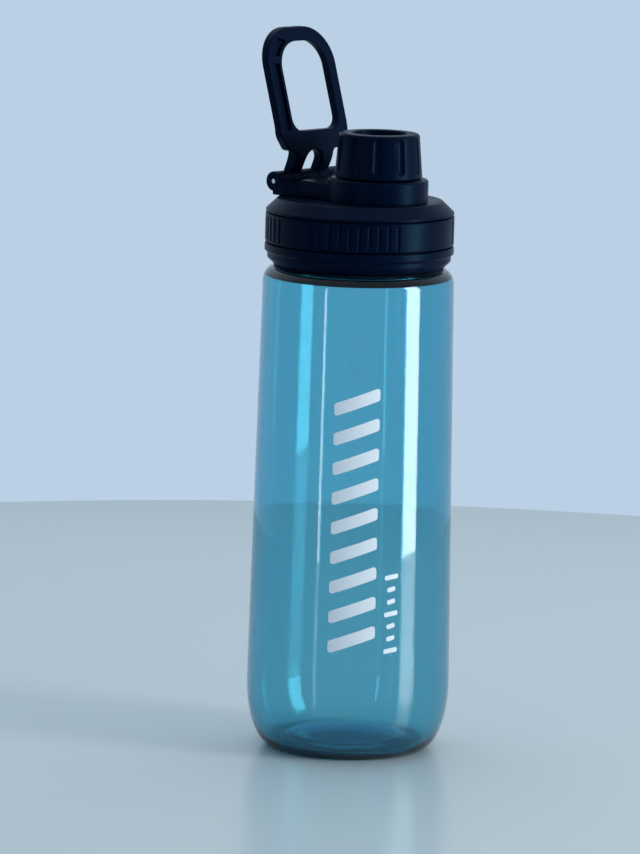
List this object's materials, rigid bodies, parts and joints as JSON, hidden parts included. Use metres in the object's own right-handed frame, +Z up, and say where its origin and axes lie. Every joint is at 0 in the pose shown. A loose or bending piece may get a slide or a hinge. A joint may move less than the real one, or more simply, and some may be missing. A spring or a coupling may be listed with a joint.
{
  "type": "sports bottle with screw lid and carry loop",
  "caption": "Tall clear tinted drinking bottle with a rounded heel, a black screw lid, an offset spout under a fluted screw cap, and a hinged carry loop.",
  "frame": {"origin": "on the bottle's axis, in the plane of the ring that it stands on", "axes": "+Z up along the bottle, -Y towards the offset spout, +Y towards the loop's hinge, +X along the hinge pin"},
  "size_m": [0.073, 0.0735, 0.2572],
  "materials": {
    "clear_body": "clear tinted gloss",
    "lid_plastic": "fine satin",
    "cap_plastic": "fine satin",
    "loop_plastic": "satin",
    "seal_rubber": "soft matte",
    "liner_plastic": "matte foam disc",
    "pin_steel": "satin steel",
    "print_ink": "thin white print"
  },
  "bodies": {
    "bottle": {"bottle_shell": "clear_body", "shoulder_gasket": "seal_rubber"},
    "seal": {"mouth_seal": "seal_rubber"},
    "lid": {"thread_collar": "lid_plastic", "grip_band": "lid_plastic", "lid_crown": "lid_plastic", "handle_bracket": "lid_plastic", "hinge_pin": "pin_steel"},
    "handle": {"carry_loop": "loop_plastic"},
    "liner": {"cap_liner": "liner_plastic"},
    "cap": {"spout_cap": "cap_plastic"}
  },
  "joints": [
    {"name": "lid_rise", "type": "slide", "parent": "bottle", "child": "seal", "axis": [0, 0, 1], "range_m": [0, 0.0201]},
    {"name": "lid_turn", "type": "hinge", "parent": "seal", "child": "lid", "pos_m": [0, 0, 0.19], "axis": [0, 0, 1], "range_deg": [0, 1440]},
    {"name": "handle_fold", "type": "hinge", "parent": "lid", "child": "handle", "pos_m": [0, 0.027, 0.2032], "axis": [-1, 0, 0], "range_deg": [-12, 120]},
    {"name": "cap_rise", "type": "slide", "parent": "lid", "child": "liner", "axis": [0, 0, 1], "range_m": [0, 0.0161]},
    {"name": "cap_turn", "type": "hinge", "parent": "liner", "child": "cap", "pos_m": [0, -0.00825, 0.216], "axis": [0, 0, 1], "range_deg": [0, 1440]}
  ],
  "couplings": [
    {"joint": "lid_rise", "follows": "lid_turn", "m_per_rad": 0.00079577},
    {"joint": "cap_rise", "follows": "cap_turn", "m_per_rad": 0.00063662}
  ]
}
